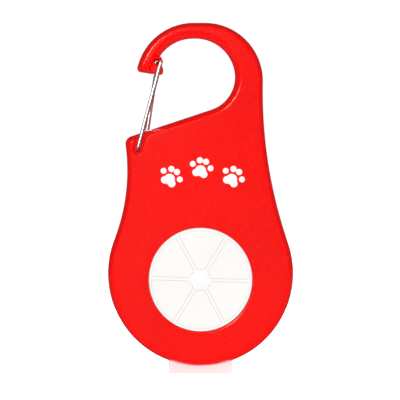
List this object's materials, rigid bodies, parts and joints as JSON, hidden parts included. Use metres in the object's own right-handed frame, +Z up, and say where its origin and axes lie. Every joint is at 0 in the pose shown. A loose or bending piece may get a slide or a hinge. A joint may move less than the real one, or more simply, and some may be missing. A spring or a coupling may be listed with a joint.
{
  "type": "clicker trainer",
  "caption": "Palm-sized dog-training clicker: flat pear-shaped case with a snap hook and wire gate, a round push button over a click leaf, and a slide-out name tab.",
  "frame": {"origin": "centre of the round lower body, on the flat back face", "axes": "+X to the right seen from the front, +Y out of the back face, +Z up towards the hook"},
  "size_m": [0.05, 0.0121, 0.0951],
  "materials": {
    "case": "spark-eroded satin red ABS",
    "screw": "zinc-plated",
    "button": "white, semi-gloss",
    "pad": "cream-white soft-touch",
    "inner_plastic": "black acetal",
    "rubber": "matt",
    "spring_steel": "blue-grey spring steel",
    "brass": "plain",
    "wire": "bright drawn wire",
    "tab": "white, semi-gloss",
    "paper": "blank label stock",
    "ink": "white pad print"
  },
  "bodies": {
    "case": {"front_case": "case", "rear_case": "case", "case_screws": "screw", "bumper_ring": "rubber", "leaf_carrier": "inner_plastic", "leaf_clamp": "inner_plastic", "strike_plate": "screw", "strike_rivets": "brass", "carrier_screws": "screw", "tab_guide": "inner_plastic", "tab_guide_screws": "screw", "tab_friction_pad": "rubber", "front_print": "ink"},
    "button": {"button_cap": "button", "button_pads": "pad", "button_plunger": "inner_plastic"},
    "leaf": {"click_leaf": "spring_steel"},
    "gate": {"gate_wire": "wire"},
    "tab": {"name_tab": "tab", "tab_label": "paper"}
  },
  "joints": [
    {"name": "button_press", "type": "slide", "parent": "case", "child": "button", "axis": [0, 1, 0], "range_m": [0, 0.0014], "stiffness_N_per_m": 4000, "springref_m": -0.0002},
    {"name": "leaf_rock", "type": "hinge", "parent": "case", "child": "leaf", "pos_m": [-0.0152, -0.00622, -0.00155], "axis": [0, 0, 1], "range_deg": [0, 5.5]},
    {"name": "gate_swing", "type": "hinge", "parent": "case", "child": "gate", "pos_m": [-0.01683, -0.006, 0.03317], "axis": [0, 1, 0], "range_deg": [0, 16], "stiffness_Nm_per_rad": 0.04, "springref_deg": -6.88},
    {"name": "tab_slide", "type": "slide", "parent": "case", "child": "tab", "axis": [0, 0, -1], "range_m": [0, 0.009]}
  ],
  "couplings": [
    {"joint": "leaf_rock", "follows": "button_press", "rad_per_m": 68}
  ]
}
